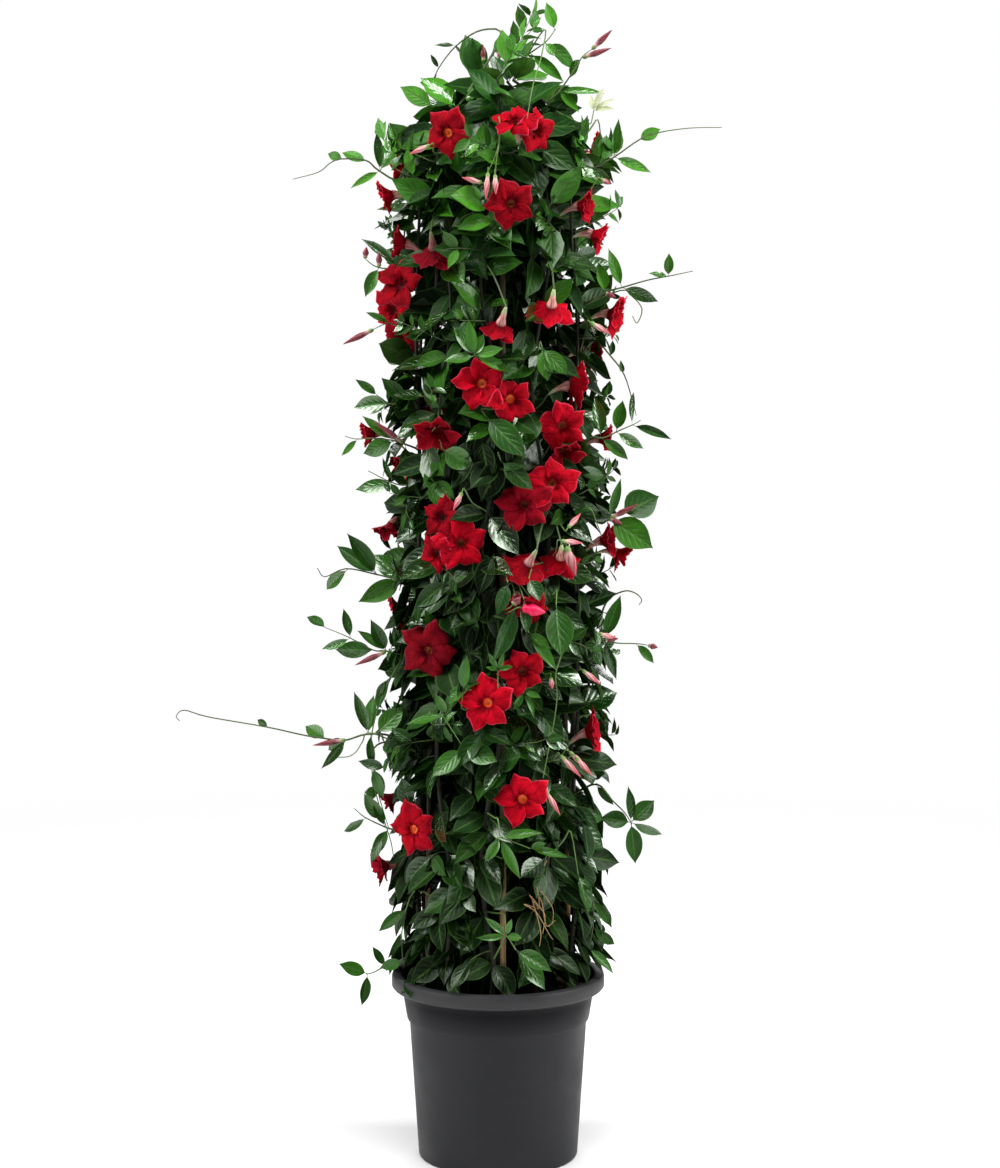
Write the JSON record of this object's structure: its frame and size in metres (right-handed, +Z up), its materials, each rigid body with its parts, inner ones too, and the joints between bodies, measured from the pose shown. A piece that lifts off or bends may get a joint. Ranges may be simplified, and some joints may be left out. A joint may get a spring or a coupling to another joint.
{
  "type": "potted mandevilla",
  "caption": "Red-flowered climbing mandevilla trained as a tall leafy column on bamboo canes, planted in a round dark grey nursery pot.",
  "frame": {"origin": "centre of the flat underside of the pot", "axes": "+Z up along the column, -Y towards the side that is looked at, +X to that viewer's right"},
  "size_m": [0.8014, 0.3715, 1.715],
  "materials": {
    "pot": "satin dark grey blow-moulded plastic",
    "soil": "crumbly moist potting mix",
    "cane": "smooth tan bamboo with nodes",
    "foliage": "glossy green leaf with a paler midrib",
    "petal": "soft velvety red with an orange eye"
  },
  "bodies": {
    "root": {"pot": "pot", "soil": "soil", "cane_1": "cane", "cane_2": "cane", "cane_3": "cane", "cane_4": "cane", "vine_1": "foliage", "vine_2": "foliage", "vine_3": "foliage", "vine_4": "foliage", "vine_5": "foliage", "vine_6": "foliage", "vine_7": "foliage", "vine_8": "foliage", "vine_9": "foliage", "vine_10": "foliage", "bloom_1": "petal", "bloom_2": "petal", "bloom_3": "petal", "bloom_4": "petal", "bloom_5": "petal", "bloom_6": "petal", "bloom_7": "petal", "bloom_8": "petal", "bloom_9": "petal", "bloom_10": "petal", "bloom_11": "petal", "bloom_12": "petal", "bloom_13": "petal", "bloom_14": "petal", "bloom_15": "petal", "bloom_16": "petal", "bloom_17": "petal", "bloom_18": "petal", "bloom_19": "petal", "bloom_20": "petal", "bloom_21": "petal", "bloom_22": "petal", "bloom_23": "petal", "bloom_24": "petal", "bloom_25": "petal", "bloom_26": "petal", "bloom_27": "petal", "bloom_28": "petal", "bloom_29": "petal", "bloom_30": "petal", "bloom_31": "petal", "bloom_32": "petal", "bloom_33": "petal", "bloom_34": "petal", "bloom_35": "petal", "bloom_36": "petal", "bloom_37": "petal", "bloom_38": "petal", "bloom_39": "petal", "bloom_40": "petal", "bloom_41": "petal", "bloom_42": "petal", "bloom_43": "petal", "bloom_44": "petal"}
  },
  "joints": []
}
